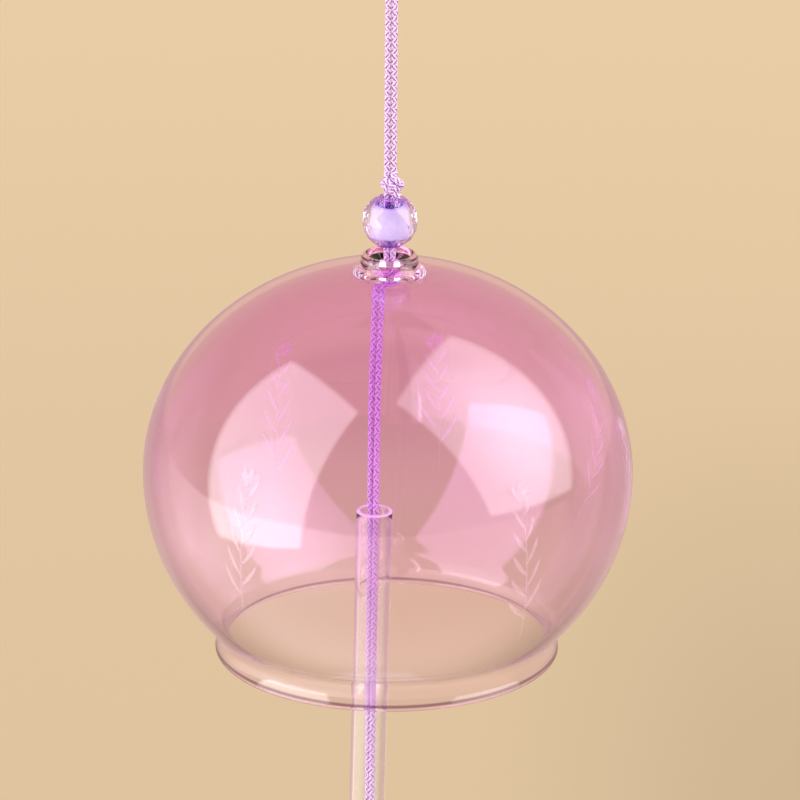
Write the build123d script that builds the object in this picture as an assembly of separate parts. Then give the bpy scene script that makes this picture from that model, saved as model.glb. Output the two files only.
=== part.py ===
from build123d import *
import math
import os

# Furin wind bell: a blown glass bell on a doubled cord, with a glass tube clapper and a paper strip.
# Millimetres, +Z up. The origin is where the hanging loop bears on its hook, and the front faces -Y.

# Cord and knots
CORD_DIAMETER = 1.0
STRAND_GAP = 0.1           # between the two strands of the doubled cord
SEAT_GAP = 0.3             # between pieces that bear on each other
HOOK_DIAMETER = 3.0        # the hook that the loop's eye is shaped for
EYE_SLACK = 0.15           # room beside the hook in the eye
LOOP_DROP = 64.0           # from the hook down to the middle of the top knot
LEGS_MEET = 27.0           # how far under the hook the loop's legs come together
TOP_KNOT_DIAMETER = 4.2
CUT_END_LENGTH = 2.5       # the cut cord end, from the middle of the top knot
CUT_END_SLOPE = 25.0       # degrees below level
KNOT_TURNS = 3             # turns of cord that show on a knot
TURN_TILT = 35.0           # degrees that a knot's turns lean
BEND_SHARE = 0.45          # of the shorter run beside a corner that its round may take

# Bead
BEAD_DIAMETER = 9.1
BEAD_FLAT_LATITUDE = 60.0  # degrees above the bead's middle where its end flats begin
BEAD_SIDES = 12
BEAD_BANDS = 6
BEAD_PLAY = 0.3            # round the doubled cord in the bead's hole
CORE_WALL = 0.85           # pale inner bead, outside the hole
CORE_HEIGHT = 4.4
CORE_CLEARANCE = 0.1
BEAD_TO_RIM = 1.6          # from the bead's lower flat down to the bell's rim

# Glass bell
BELL_DIAMETER = 80.0
DOME_HEIGHT = 35.2         # from the widest place up to the crown, the rim left out
LOWER_DEPTH = 37.5         # from the widest place down to where the lower curve would close
BELL_WALL = 1.2
RIM_DIAMETER = 9.2
RIM_WALL = 1.3             # rounded edge of the rim
RIM_RISE = 2.5             # rim over the crown
THROAT_PLAY = 0.85         # round the doubled cord in the throat
THROAT_LENGTH = 0.6
THROAT_DEPTH = 2.2         # from the rim's edge to the lower end of the throat
WAIST_ROUND = 3.4          # where the wall draws in over the lip
LIP_DIAMETER = 56.6
LIP_STAND = 0.4            # lip beyond the waist
LIP_FLARE = 20.0           # degrees from upright

# Clapper
STOP_KNOT_BITE = 0.4       # stop knot's diameter over the throat's
CLAPPER_OFFSET = 2.4       # clapper cord's distance to the left of the bell's axis
TUBE_DROP = 40.3           # from the middle of the stop knot down to the tube's top
TUBE_LENGTH = 65.0
TUBE_WALL = 0.65
TUBE_PLAY = 1.25           # round the doubled cord in the tube
TUBE_TOP_SHIFT = 0.25      # tube's top to the right of the cord, as the tube hangs askew
TUBE_EDGE_ROUND = 0.25     # fire-polished ends
CLAPPER_KNOT_BITE = 1.0    # clapper knot's diameter over the tube's bore

# Paper strip
PAPER_WIDTH = 40.0
PAPER_LENGTH = 140.0
PAPER_THICKNESS = 0.4
PAPER_HOLE = 4.0
PAPER_MARGIN = 6.0         # from the paper's top edge to the middle of its hole
PAPER_GAP = 1.0            # from the clapper knot down to the paper's top edge
TAIL_HALF_SPREAD = 1.2     # each leg of the tail loop from the paper's middle

# Where the blends of the bell are looked for, in degrees round its ellipses
NECK_SEARCH = (45.0, 90.0)
WAIST_SEARCH = (-80.0, -5.0)
HALVINGS = 60

# Worked-out sizes
CORD_RADIUS = CORD_DIAMETER / 2
STRAND_SHIFT = (CORD_DIAMETER + STRAND_GAP) / 2
CORD_HALF_WIDTH = STRAND_SHIFT + CORD_RADIUS
TOP_KNOT_RADIUS = TOP_KNOT_DIAMETER / 2
BEAD_HOLE_RADIUS = CORD_HALF_WIDTH + BEAD_PLAY
BEAD_HALF_HEIGHT = BEAD_DIAMETER / 2 * math.sin(math.radians(BEAD_FLAT_LATITUDE))
CORE_RADIUS = BEAD_HOLE_RADIUS + CORE_WALL
RIM_RADIUS = RIM_DIAMETER / 2
RIM_ROUND = RIM_WALL / 2
THROAT_RADIUS = CORD_HALF_WIDTH + THROAT_PLAY
STOP_KNOT_RADIUS = THROAT_RADIUS + STOP_KNOT_BITE / 2
TUBE_BORE_RADIUS = CORD_HALF_WIDTH + TUBE_PLAY
TUBE_RADIUS = TUBE_BORE_RADIUS + TUBE_WALL
TUBE_FOOT_SHIFT = TUBE_PLAY - SEAT_GAP
TUBE_LEAN = math.degrees(math.asin((TUBE_TOP_SHIFT + TUBE_FOOT_SHIFT) / TUBE_LENGTH))
CLAPPER_KNOT_RADIUS = TUBE_BORE_RADIUS + CLAPPER_KNOT_BITE / 2
CLAPPER_X = -CLAPPER_OFFSET

# Levels, from the hook down to the bell's widest place
TOP_KNOT_Z = -LOOP_DROP
BEAD_Z = TOP_KNOT_Z - TOP_KNOT_RADIUS - SEAT_GAP - BEAD_HALF_HEIGHT
RIM_Z = BEAD_Z - BEAD_HALF_HEIGHT - BEAD_TO_RIM
BELL_Z = RIM_Z - RIM_RISE - DOME_HEIGHT


def beside(distance, reach):
    """How far along the axis a point is that lies this distance off it and at this reach from a centre."""
    return math.sqrt(reach ** 2 - distance ** 2)


def on_ellipse(half_width, half_height, angle):
    """The point of an upright ellipse at this angle in degrees, and its outward normal."""
    cosine = math.cos(math.radians(angle))
    sine = math.sin(math.radians(angle))
    length = math.hypot(half_height * cosine, half_width * sine)
    normal = (half_height * cosine / length, half_width * sine / length)
    return (half_width * cosine, half_height * sine), normal


def root(function, search):
    """Where a function that changes sign over the search is zero, by halving."""
    low, high = search
    for _ in range(HALVINGS):
        middle = (low + high) / 2
        if (function(low) < 0) == (function(middle) < 0):
            low = middle
        else:
            high = middle
    return (low + high) / 2


def neck_blend(half_width, half_height, radius, level):
    """The round that leaves (radius, level) straight down and runs out onto the dome.

    Returns the angle on the dome's ellipse where it ends, and the size of the round.
    """

    def size(angle):
        point, normal = on_ellipse(half_width, half_height, angle)
        return (level - point[1]) / normal[1]

    def miss(angle):
        point, normal = on_ellipse(half_width, half_height, angle)
        return point[0] + size(angle) * normal[0] - radius - size(angle)

    angle = root(miss, NECK_SEARCH)
    return angle, size(angle)


def waist_blend(half_width, half_height, radius, size):
    """The round of this size that touches the lower ellipse and draws the wall in to this radius.

    Returns the angle on the ellipse where it begins, and its centre.
    """

    def centre(angle):
        point, normal = on_ellipse(half_width, half_height, angle)
        return point[0] + size * normal[0], point[1] + size * normal[1]

    angle = root(lambda a: centre(a)[0] - radius - size, WAIST_SEARCH)
    return angle, centre(angle)


BELL_RADIUS = BELL_DIAMETER / 2
INNER_RADIUS = BELL_RADIUS - BELL_WALL
INNER_DOME = DOME_HEIGHT - BELL_WALL
INNER_LOWER = LOWER_DEPTH - BELL_WALL
WAIST_RADIUS = LIP_DIAMETER / 2 - LIP_STAND
RIM_EDGE = DOME_HEIGHT + RIM_RISE - RIM_ROUND
SEAT_LEVEL = DOME_HEIGHT + RIM_RISE - THROAT_DEPTH
SEAT_ANGLE, SEAT_ROUND = neck_blend(INNER_RADIUS, INNER_DOME, THROAT_RADIUS, SEAT_LEVEL)

# Levels of the clapper, from the seat in the neck down to the paper's edge
STOP_KNOT_Z = BELL_Z + SEAT_LEVEL - beside(
    THROAT_RADIUS + SEAT_ROUND, SEAT_ROUND + STOP_KNOT_RADIUS + SEAT_GAP)
TUBE_TOP_Z = STOP_KNOT_Z - TUBE_DROP
TUBE_FOOT_Z = TUBE_TOP_Z - TUBE_LENGTH
CLAPPER_KNOT_Z = TUBE_FOOT_Z - beside(
    TUBE_BORE_RADIUS - TUBE_FOOT_SHIFT, CLAPPER_KNOT_RADIUS + SEAT_GAP)
PAPER_TOP_Z = CLAPPER_KNOT_Z - CLAPPER_KNOT_RADIUS - PAPER_GAP
PAPER_HOLE_Z = PAPER_TOP_Z - PAPER_MARGIN


def glass_bell():
    """Blown bell: one profile turned round the axis, from the rim out to the lip and back inside."""
    dome_angle, dome_round = neck_blend(BELL_RADIUS, DOME_HEIGHT, RIM_RADIUS, RIM_EDGE)
    dome_point, _ = on_ellipse(BELL_RADIUS, DOME_HEIGHT, dome_angle)
    waist_angle, waist = waist_blend(BELL_RADIUS, LOWER_DEPTH, WAIST_RADIUS, WAIST_ROUND)
    inner_angle, inner_waist = waist_blend(
        INNER_RADIUS, INNER_LOWER, WAIST_RADIUS - BELL_WALL, WAIST_ROUND + BELL_WALL)
    seat_point, _ = on_ellipse(INNER_RADIUS, INNER_DOME, SEAT_ANGLE)
    flare = math.radians(LIP_FLARE)
    across = (-math.cos(flare), -math.sin(flare))
    down = (math.sin(flare), -math.cos(flare))

    def moved(point, direction, distance):
        return point[0] + direction[0] * distance, point[1] + direction[1] * distance

    flare_start = moved(waist, across, WAIST_ROUND)
    flare_length = (LIP_DIAMETER / 2 - flare_start[0]) / down[0]
    lip_outside = moved(flare_start, down, flare_length)
    lip_inside = moved(lip_outside, across, BELL_WALL)
    lip_end = moved(moved(lip_outside, across, BELL_WALL / 2), down, BELL_WALL / 2)
    inner_start = moved(inner_waist, across, WAIST_ROUND + BELL_WALL)
    waist_point, _ = on_ellipse(BELL_RADIUS, LOWER_DEPTH, waist_angle)
    inner_point, _ = on_ellipse(INNER_RADIUS, INNER_LOWER, inner_angle)
    rim_inside = (RIM_RADIUS - RIM_WALL, RIM_EDGE)
    rim_outside = (RIM_RADIUS, RIM_EDGE)
    slant = math.sqrt(0.5)

    profile = [
        ThreePointArc(
            rim_outside,
            (RIM_RADIUS + dome_round * (1 - slant), RIM_EDGE - dome_round * slant),
            dome_point),
        EllipticalCenterArc((0, 0), BELL_RADIUS, DOME_HEIGHT, dome_angle, arc_size=-dome_angle),
        EllipticalCenterArc((0, 0), BELL_RADIUS, LOWER_DEPTH, arc_size=waist_angle),
        ThreePointArc(waist_point, (waist[0] - WAIST_ROUND, waist[1]), flare_start),
        Line(flare_start, lip_outside),
        ThreePointArc(lip_outside, lip_end, lip_inside),
        Line(lip_inside, inner_start),
        ThreePointArc(inner_start, (inner_waist[0] - WAIST_ROUND - BELL_WALL, inner_waist[1]), inner_point),
        EllipticalCenterArc((0, 0), INNER_RADIUS, INNER_LOWER, arc_size=inner_angle),
        EllipticalCenterArc((0, 0), INNER_RADIUS, INNER_DOME, SEAT_ANGLE, arc_size=-SEAT_ANGLE),
        ThreePointArc(
            seat_point,
            (THROAT_RADIUS + SEAT_ROUND * (1 - slant), SEAT_LEVEL - SEAT_ROUND * slant),
            (THROAT_RADIUS, SEAT_LEVEL)),
        Line((THROAT_RADIUS, SEAT_LEVEL), (THROAT_RADIUS, SEAT_LEVEL + THROAT_LENGTH)),
        Line((THROAT_RADIUS, SEAT_LEVEL + THROAT_LENGTH), rim_inside),
        ThreePointArc(rim_inside, (RIM_RADIUS - RIM_ROUND, RIM_EDGE + RIM_ROUND), rim_outside),
    ]
    section = Plane.XZ * make_face(profile)
    return Pos(0, 0, BELL_Z) * revolve(section, Axis.Z)


def strand(x, bottom, top):
    """One straight strand of cord between two levels."""
    return Pos(x, 0, bottom) * Cylinder(
        CORD_RADIUS, top - bottom, align=(Align.CENTER, Align.CENTER, Align.MIN))


def doubled_cord(x, bottom, top):
    """Two strands side by side."""
    return Compound([strand(x - STRAND_SHIFT, bottom, top), strand(x + STRAND_SHIFT, bottom, top)])


def knot(radius):
    """A hard knot: crossing turns of cord round a core, inside a ball of this radius."""
    turn_radius = radius - CORD_RADIUS
    turn = Rot(X=TURN_TILT) * Torus(turn_radius, CORD_RADIUS)
    return Sphere(turn_radius) + [Rot(Z=360 * i / KNOT_TURNS) * turn for i in range(KNOT_TURNS)]


def cord_loop(points, radii, plane):
    """A round cord along straight runs with these rounds at their corners."""
    path = plane * FilletPolyline(*points, radius=radii)
    start = Plane(path @ 0, z_dir=path % 0)
    loop = sweep(start * Circle(CORD_RADIUS), path=path)
    drawn = math.pi * CORD_RADIUS ** 2 * path.length
    print("cord", round(path.length, 2), "radii", [round(r, 2) for r in radii],
          "volume over section times length", round(loop.volume / drawn, 4))
    return loop


def fair_radius(before, corner, after):
    """The largest round that suits a cord's corner."""
    turn = math.radians((Vector(*corner) - Vector(*before)).get_angle(Vector(*after) - Vector(*corner)))
    shorter = min(math.dist(before, corner), math.dist(corner, after))
    return BEND_SHARE * shorter / math.tan(turn / 2)


def hanging_loop():
    """Up from the top knot, round the hook and down again."""
    foot = TOP_KNOT_Z + TOP_KNOT_RADIUS + SEAT_GAP
    eye = HOOK_DIAMETER / 2 + CORD_RADIUS
    left = [(-STRAND_SHIFT, foot), (-STRAND_SHIFT, -LEGS_MEET), (-eye - EYE_SLACK, CORD_RADIUS)]
    points = left + [(-x, z) for x, z in reversed(left)]
    meet = fair_radius(*left)
    return cord_loop(points, [meet, eye, eye, meet], Plane.XZ)


def top_knot():
    """The knot over the bead, with both strands coming out of it upwards and one cut end at its side."""
    both = doubled_cord(0, 0, TOP_KNOT_RADIUS + SEAT_GAP)
    end = Rot(Y=90 + CUT_END_SLOPE) * strand(0, 0, CUT_END_LENGTH)
    return Pos(0, 0, TOP_KNOT_Z) * (knot(TOP_KNOT_RADIUS) + both.solids() + end)


def bead_ball():
    """Faceted ball: rows of points between the two end flats, each row half a side on from the last."""
    rows = []
    for row in range(BEAD_BANDS + 1):
        latitude = math.radians(BEAD_FLAT_LATITUDE * (1 - 2 * row / BEAD_BANDS))
        radius = BEAD_DIAMETER / 2 * math.cos(latitude)
        level = BEAD_DIAMETER / 2 * math.sin(latitude)
        turns = [2 * math.pi * (side + row % 2 / 2) / BEAD_SIDES for side in range(BEAD_SIDES)]
        rows.append([(radius * math.cos(t), radius * math.sin(t), level) for t in turns])
    faces = [Face(Wire.make_polygon(row)) for row in (rows[0], rows[-1])]
    for row in range(BEAD_BANDS):
        upper, lower = rows[row], rows[row + 1]
        for side in range(BEAD_SIDES):
            a, b = upper[side], upper[(side + 1) % BEAD_SIDES]
            c, d = lower[side], lower[(side + 1) % BEAD_SIDES]
            corners = [(a, c, b), (b, c, d)] if row % 2 == 0 else [(a, c, d), (a, d, b)]
            faces += [Face(Wire.make_polygon(three)) for three in corners]
    return Solid(Shell(faces))


def bead_shell():
    """Clear faceted bead, moulded round its core."""
    hole = Cylinder(BEAD_HOLE_RADIUS, BEAD_DIAMETER)
    hollow = Cylinder(CORE_RADIUS + CORE_CLEARANCE, CORE_HEIGHT + 2 * CORE_CLEARANCE)
    return Pos(0, 0, BEAD_Z) * (bead_ball() - hole - hollow)


def bead_core():
    """Pale inner bead."""
    return Pos(0, 0, BEAD_Z) * (Cylinder(CORE_RADIUS, CORE_HEIGHT) - Cylinder(BEAD_HOLE_RADIUS, CORE_HEIGHT))


def neck_cord():
    """From the top knot through the bead and the bell's throat to the stop knot."""
    bottom = STOP_KNOT_Z + STOP_KNOT_RADIUS + SEAT_GAP
    return doubled_cord(0, bottom, TOP_KNOT_Z - TOP_KNOT_RADIUS - SEAT_GAP)


def stop_knot():
    """The knot under the throat that the bell hangs on."""
    return Pos(0, 0, STOP_KNOT_Z) * knot(STOP_KNOT_RADIUS)


def clapper_cord():
    """From beside the stop knot down through the tube to the clapper knot."""
    inner_edge = max(0, CLAPPER_OFFSET - CORD_HALF_WIDTH)
    top = STOP_KNOT_Z - beside(inner_edge, STOP_KNOT_RADIUS + SEAT_GAP)
    return doubled_cord(CLAPPER_X, CLAPPER_KNOT_Z + CLAPPER_KNOT_RADIUS + SEAT_GAP, top)


def clapper_tube():
    """Glass tube with fire-polished ends, hanging a little askew on its cord."""
    standing = (Align.CENTER, Align.CENTER, Align.MIN)
    tube = Cylinder(TUBE_RADIUS, TUBE_LENGTH, align=standing)
    tube -= Cylinder(TUBE_BORE_RADIUS, TUBE_LENGTH, align=standing)
    ends = tube.edges().filter_by(GeomType.CIRCLE)
    tube = fillet(ends, TUBE_EDGE_ROUND)
    return Pos(CLAPPER_X - TUBE_FOOT_SHIFT, 0, TUBE_FOOT_Z) * Rot(Y=TUBE_LEAN) * tube


def clapper_knot():
    """The knot that keeps the tube on its cord."""
    return Pos(CLAPPER_X, 0, CLAPPER_KNOT_Z) * knot(CLAPPER_KNOT_RADIUS)


def tail_loop():
    """From the clapper knot through the paper's hole and back up, one leg each side of the paper."""
    top = CLAPPER_KNOT_Z - beside(TAIL_HALF_SPREAD - CORD_RADIUS, CLAPPER_KNOT_RADIUS + SEAT_GAP)
    bottom = PAPER_HOLE_Z + PAPER_HOLE / 2 - SEAT_GAP - CORD_RADIUS
    leg = [(-TAIL_HALF_SPREAD, top), (-TAIL_HALF_SPREAD, bottom)]
    points = leg + [(-y, z) for y, z in reversed(leg)]
    bend = fair_radius(*points[:3])
    return Pos(CLAPPER_X, 0, 0) * cord_loop(points, [bend, bend], Plane.YZ)


def paper_strip():
    """Paper strip with a punched hole near its upper edge."""
    sheet = Pos(CLAPPER_X, 0, PAPER_TOP_Z) * Box(
        PAPER_WIDTH, PAPER_THICKNESS, PAPER_LENGTH, align=(Align.CENTER, Align.CENTER, Align.MAX))
    hole = Pos(CLAPPER_X, 0, PAPER_HOLE_Z) * Rot(X=90) * Cylinder(PAPER_HOLE / 2, 2 * PAPER_THICKNESS)
    return sheet - hole


os.makedirs("parts", exist_ok=True)
for piece in (glass_bell, hanging_loop, top_knot, bead_shell, bead_core, neck_cord, stop_knot, clapper_cord,
              clapper_tube, clapper_knot, tail_loop, paper_strip):
    export_step(piece(), f"parts/{piece.__name__}.step")
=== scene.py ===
"""Furin wind bell: the looks of a blown glass bell on a braided cord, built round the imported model."""
import math

import bpy
import numpy as np
from bpy.props import FloatProperty, FloatVectorProperty, IntProperty, PointerProperty
from mathutils import Matrix, Vector


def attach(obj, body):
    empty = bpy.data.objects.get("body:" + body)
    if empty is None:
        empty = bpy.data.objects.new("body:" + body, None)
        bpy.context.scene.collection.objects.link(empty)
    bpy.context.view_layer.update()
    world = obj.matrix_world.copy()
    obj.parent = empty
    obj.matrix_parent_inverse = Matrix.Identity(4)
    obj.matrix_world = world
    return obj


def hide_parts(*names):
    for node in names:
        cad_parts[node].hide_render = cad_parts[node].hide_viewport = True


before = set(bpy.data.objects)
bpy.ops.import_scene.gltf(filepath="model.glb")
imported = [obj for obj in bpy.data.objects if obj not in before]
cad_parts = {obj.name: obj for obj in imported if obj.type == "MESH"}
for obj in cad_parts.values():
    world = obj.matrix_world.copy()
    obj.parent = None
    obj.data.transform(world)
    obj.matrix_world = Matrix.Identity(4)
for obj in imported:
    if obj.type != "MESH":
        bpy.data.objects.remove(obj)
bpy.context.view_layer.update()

bl_info = {
    "name": "Furin wind bell",
    "version": (1, 0, 0),
    "blender": (4, 5, 0),
    "location": "View3D > Sidebar > Wind bell",
    "description": "Makes a blown glass wind bell on a braided cord, with its bead, clapper and paper strip",
    "category": "Add Mesh",
}

MM = 0.001
TURN = 2 * math.pi
RIGHT_ANGLE = math.pi / 2
TOWARDS = np.array([0.0, -1.0, 0.0])
SIDEWAYS = np.array([1.0, 0.0, 0.0])


# Settings

def length(name, description, millimetres):
    """A length that a user can change, given here in millimetres."""
    return FloatProperty(name=name, description=description, default=millimetres * MM, unit="LENGTH", precision=5)


def tilt(name, description, degrees):
    """An angle that a user can change, given here in degrees."""
    return FloatProperty(name=name, description=description, default=math.radians(degrees), subtype="ANGLE")


def colour(name, description, rgb):
    """A colour that a user can change."""
    return FloatVectorProperty(name=name, description=description, default=rgb, subtype="COLOR", min=0, max=1)


class BellSettings(bpy.types.PropertyGroup):
    """Sizes and colours of the glass bell."""
    middle: length("Middle level", "Level of the bell's widest place", -113.581)
    width: length("Width", "Width of the bell at its widest place", 80.0)
    dome: length("Dome height", "From the widest place up to the crown", 35.2)
    lower: length("Lower depth", "From the widest place down to where the lower curve would close", 37.5)
    wall: length("Wall", "Thickness of the glass", 1.2)
    rim_width: length("Rim width", "Width of the rim round the cord", 9.2)
    rim_wall: length("Rim wall", "Thickness of the rim's rounded edge", 1.3)
    rim_rise: length("Rim rise", "Height of the rim over the crown", 2.5)
    throat: length("Throat", "Radius of the throat under the rim", 1.9)
    throat_depth: length("Throat depth", "From the rim's edge to the lower end of the throat", 2.2)
    throat_length: length("Throat length", "Length of the throat's straight part", 0.6)
    waist: length("Waist", "Width where the bell draws in over its lip", 55.8)
    waist_round: length("Waist round", "Radius of the round between bell and lip", 3.4)
    lip: length("Lip", "Width of the flared lip", 56.6)
    flare: tilt("Flare", "Slope of the lip", 20)
    waviness: length("Waviness", "How far the blown wall wanders from a true round", 0.07)
    crown_tint: colour("Crown tint", "Colour that one wall passes at the crown", (0.925, 0.605, 0.945))
    rim_tint: colour("Rim tint", "Colour that the thick glass of the rim passes", (0.82, 0.47, 0.70))
    shoulder_tint: colour("Shoulder tint", "Colour that one wall passes halfway up the dome", (0.905, 0.63, 0.915))
    middle_tint: colour("Middle tint", "Colour that one wall passes at the widest place", (0.925, 0.745, 0.92))
    mouth_tint: colour("Mouth tint", "Colour that one wall passes over the mouth", (0.965, 0.84, 0.97))
    # Painted shade: a dark line painted round the outside of the lip, where the lip's refraction shows dark.
    painted_shade_line: colour("Line tint", "Colour of the dark line round the lip", (0.12, 0.015, 0.10))
    lip_tint: colour("Lip tint", "Colour of the lip's very edge", (0.97, 0.80, 0.93))
    enamel: colour("Enamel", "Colour of the printed sprigs", (0.86, 0.80, 0.84))
    enamel_thin: colour("Thin enamel", "Colour where the print is thin", (0.74, 0.66, 0.72))


class CordSettings(bpy.types.PropertyGroup):
    """Sizes and colours of the braided cord."""
    strand: length("Strand", "Thickness of one braided strand", 1.04)
    pitch: length("Braid pitch", "Length in which a yarn goes once round its strand", 3.6)
    twist: length("Twist", "Length in which the two hanging strands go once round each other", 600.0)
    carriers: IntProperty(name="Yarns each way", description="Yarns that wind in each direction", default=4, min=2)
    yarn: colour("Yarn", "Colour of the satin yarn", (0.92, 0.75, 0.95))
    # Painted shade: the darker colour painted into the crevices between the yarns, where shade falls.
    painted_crevice_shade: colour("Shade", "Colour deep between the yarns", (0.42, 0.12, 0.62))


class BeadSettings(bpy.types.PropertyGroup):
    """Sizes and colours of the bead."""
    middle: length("Middle level", "Level of the bead's middle", -70.340)
    width: length("Width", "Width of the bead", 9.1)
    half_height: length("Half height", "From the bead's middle to its end flats", 3.94)
    hole: length("Hole", "Radius of the hole", 1.35)
    core_radius: length("Core radius", "Radius of the pale inner bead", 2.2)
    core_half_height: length("Core half height", "Half the height of the pale inner bead", 2.2)
    sides: IntProperty(name="Sides", description="Facets round the bead", default=12, min=5)
    bands: IntProperty(name="Bands", description="Rows of facets", default=6, min=2)
    clear: colour("Clear", "Colour that the clear bead passes round its core", (0.80, 0.70, 0.97))
    deep: colour("Deep", "Colour that the clear bead passes at its ends", (0.46, 0.20, 0.72))
    # Painted shade: a dark tint painted on the bead's outline, where it is seen at a slant.
    edge: colour("Edge", "Colour that the clear bead passes at its outline", (0.30, 0.13, 0.40))
    core: colour("Core", "Colour of the inner bead", (0.90, 0.90, 0.96))
    core_shade: colour("Core shade", "Deeper colour in the inner bead", (0.80, 0.77, 0.92))


class ClapperSettings(bpy.types.PropertyGroup):
    """Sizes and colours of the glass tube."""
    foot_x: length("Foot", "Sideways place of the tube's foot", -3.35)
    foot_level: length("Foot level", "Level of the tube's foot", -185.327)
    tube_length: length("Length", "Length of the tube", 65.0)
    radius: length("Radius", "Outer radius of the tube", 2.95)
    wall: length("Wall", "Thickness of the tube's glass", 0.65)
    edge: length("Edge round", "Radius of the fire-polished ends", 0.25)
    lean: tilt("Lean", "How far the tube hangs askew", 1.0578)
    clear: colour("Clear", "Colour that the tube's glass passes", (0.95, 0.96, 0.96))
    # Partly painted highlight: the ground ends are near-white, standing in for the bright rim of the lit glass.
    ground_and_highlight: colour("Ground", "Colour of the ground ends", (0.92, 0.88, 0.92))
    ground_shade: colour("Ground shade", "Deeper colour in the ground ends", (0.80, 0.76, 0.82))
    end_tint: colour("End tint", "Colour that the tube's glass passes near its ends", (0.97, 0.97, 0.98))


class PaperSettings(bpy.types.PropertyGroup):
    """Sizes and colours of the paper strip."""
    width: length("Width", "Width of the strip", 40.0)
    strip_length: length("Length", "Length of the strip", 140.0)
    thickness: length("Thickness", "Thickness of the paper", 0.3)
    top: length("Top level", "Level of the strip's upper edge", -191.917)
    middle_x: length("Middle", "Sideways place of the strip's middle", -2.4)
    hole: length("Hole", "Radius of the punched hole", 2.0)
    margin: length("Margin", "From the upper edge to the middle of the hole", 6.0)
    curl: length("Curl", "How far the strip's long edges curl forward", 1.6)
    sheet: colour("Sheet", "Colour of the paper", (0.66, 0.58, 0.65))
    fibre: colour("Fibre", "Colour of the long fibres in the paper", (0.78, 0.73, 0.78))


class StageSettings(bpy.types.PropertyGroup):
    """Camera, light and backdrop."""
    camera_distance: length("Camera distance", "From the camera to the bell's middle", 1000.0)
    camera_height: tilt("Camera height", "Angle of the camera over level", 20.6)
    camera_roll: tilt("Camera roll", "How far the picture leans", 0.5)
    lens: FloatProperty(name="Lens", description="Focal length in millimetres", default=275.0)
    aim_right: length("Aim right", "How far right of the bell's middle the camera aims", 1.88)
    aim_up: length("Aim up", "How far over the bell's middle the camera aims", 11.75)
    floor_level: length("Floor level", "Level of the floor under the hanging bell", -800.0)
    backdrop: colour("Backdrop", "Colour of the floor and the background", (0.79, 0.61, 0.395))
    horizon: colour("Horizon", "Colour of the background beyond the floor", (0.806, 0.605, 0.382))
    room: colour("Room", "Colour of the room in front of the bell", (0.60, 0.50, 0.46))
    ceiling: colour("Ceiling", "Colour of the dim room above", (0.14, 0.11, 0.10))
    table: colour("Table", "Colour of the lit floor where the bell reflects it", (1.0, 0.90, 0.90))
    walls: colour("Walls", "Colour of the rosy walls at the sides", (1.0, 0.68, 0.66))


class WindBellSettings(bpy.types.PropertyGroup):
    """All settings of the wind bell."""
    bell: PointerProperty(type=BellSettings)
    cord: PointerProperty(type=CordSettings)
    bead: PointerProperty(type=BeadSettings)
    clapper: PointerProperty(type=ClapperSettings)
    paper: PointerProperty(type=PaperSettings)
    stage: PointerProperty(type=StageSettings)


def settings():
    """The wind bell's settings in this scene."""
    return bpy.context.scene.wind_bell


# Meshes

def unit(vectors):
    """Vectors of the same directions and of length one."""
    return vectors / np.linalg.norm(vectors, axis=-1, keepdims=True)


def grid_quads(rows, columns, wrap_rows=False, wrap_columns=False):
    """Quads between neighbouring points of a grid of rows and columns, which may close on itself either way."""
    row = np.arange(rows if wrap_rows else rows - 1)[:, None]
    column = np.arange(columns if wrap_columns else columns - 1)[None, :]
    next_row = (row + 1) % rows
    next_column = (column + 1) % columns
    corners = [row * columns + column, next_row * columns + column,
               next_row * columns + next_column, row * columns + next_column]
    return np.stack(corners, -1).reshape(-1, 4)


def facing_out(points, faces):
    """The faces, turned round if the closed surface's signed volume says that they face inwards."""
    a, b, c = (points[faces[:, k]] for k in range(3))
    volume = np.einsum("ij,ij->", a, np.cross(b, c))
    if faces.shape[1] == 4:
        volume += np.einsum("ij,ij->", a, np.cross(c, points[faces[:, 3]]))
    return faces if volume > 0 else faces[:, ::-1]


def make_piece(name, points, faces, material, uv=None, smooth=True):
    """A mesh object at the origin from an array of points and one of faces, with a UV pair for each corner."""
    points = points.reshape(-1, 3)
    mesh = bpy.data.meshes.new(name)
    mesh.vertices.add(len(points))
    mesh.vertices.foreach_set("co", points.astype(np.float32).ravel())
    mesh.loops.add(faces.size)
    mesh.loops.foreach_set("vertex_index", faces.astype(np.int32).ravel())
    mesh.polygons.add(len(faces))
    mesh.polygons.foreach_set("loop_start", np.arange(0, faces.size, faces.shape[1], dtype=np.int32))
    mesh.polygons.foreach_set("use_smooth", np.full(len(faces), smooth))
    if uv is not None:
        mesh.uv_layers.new(name="along").data.foreach_set("uv", uv.astype(np.float32).ravel())
    mesh.update(calc_edges=True)
    mesh.materials.append(material)
    piece = bpy.data.objects.new(name, mesh)
    bpy.context.scene.collection.objects.link(piece)
    return piece


def turned(profile, segments):
    """A closed profile of radius and level, carried once round the Z axis."""
    angle = TURN * np.arange(segments) / segments
    radius, level = profile[:, :1], profile[:, 1:]
    points = np.stack([radius * np.cos(angle), radius * np.sin(angle), level + 0 * angle], -1).reshape(-1, 3)
    return points, facing_out(points, grid_quads(len(profile), segments, True, True))


def thickened(piece, thickness, offset):
    """Gives a sheet of faces its thickness, to one side or to both."""
    solid = piece.modifiers.new("thickness", "SOLIDIFY")
    solid.thickness = thickness
    solid.offset = offset


def seat(piece, body, slot, *nodes):
    """Lets a piece ride on a body and stand for CAD nodes, which it hides. slot, its finish, is not used."""
    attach(piece, body)
    if nodes:
        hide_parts(*nodes)
    return piece


# Lines and braid

ROUTE_RESOLUTION = 48
FEWEST_STEPS = 4
RINGS_PER_CROSSING = 4
POINTS_PER_PITCH = 16
YARN_SIDES = 6
# In shares of the strand's radius: how far out a yarn lies, how far it rises and falls, and half its section
YARN_PLACE, YARN_RISE = 0.60, 0.17
YARN_HALF_WIDTH, YARN_HALF_THICKNESS = 0.42, 0.25


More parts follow.
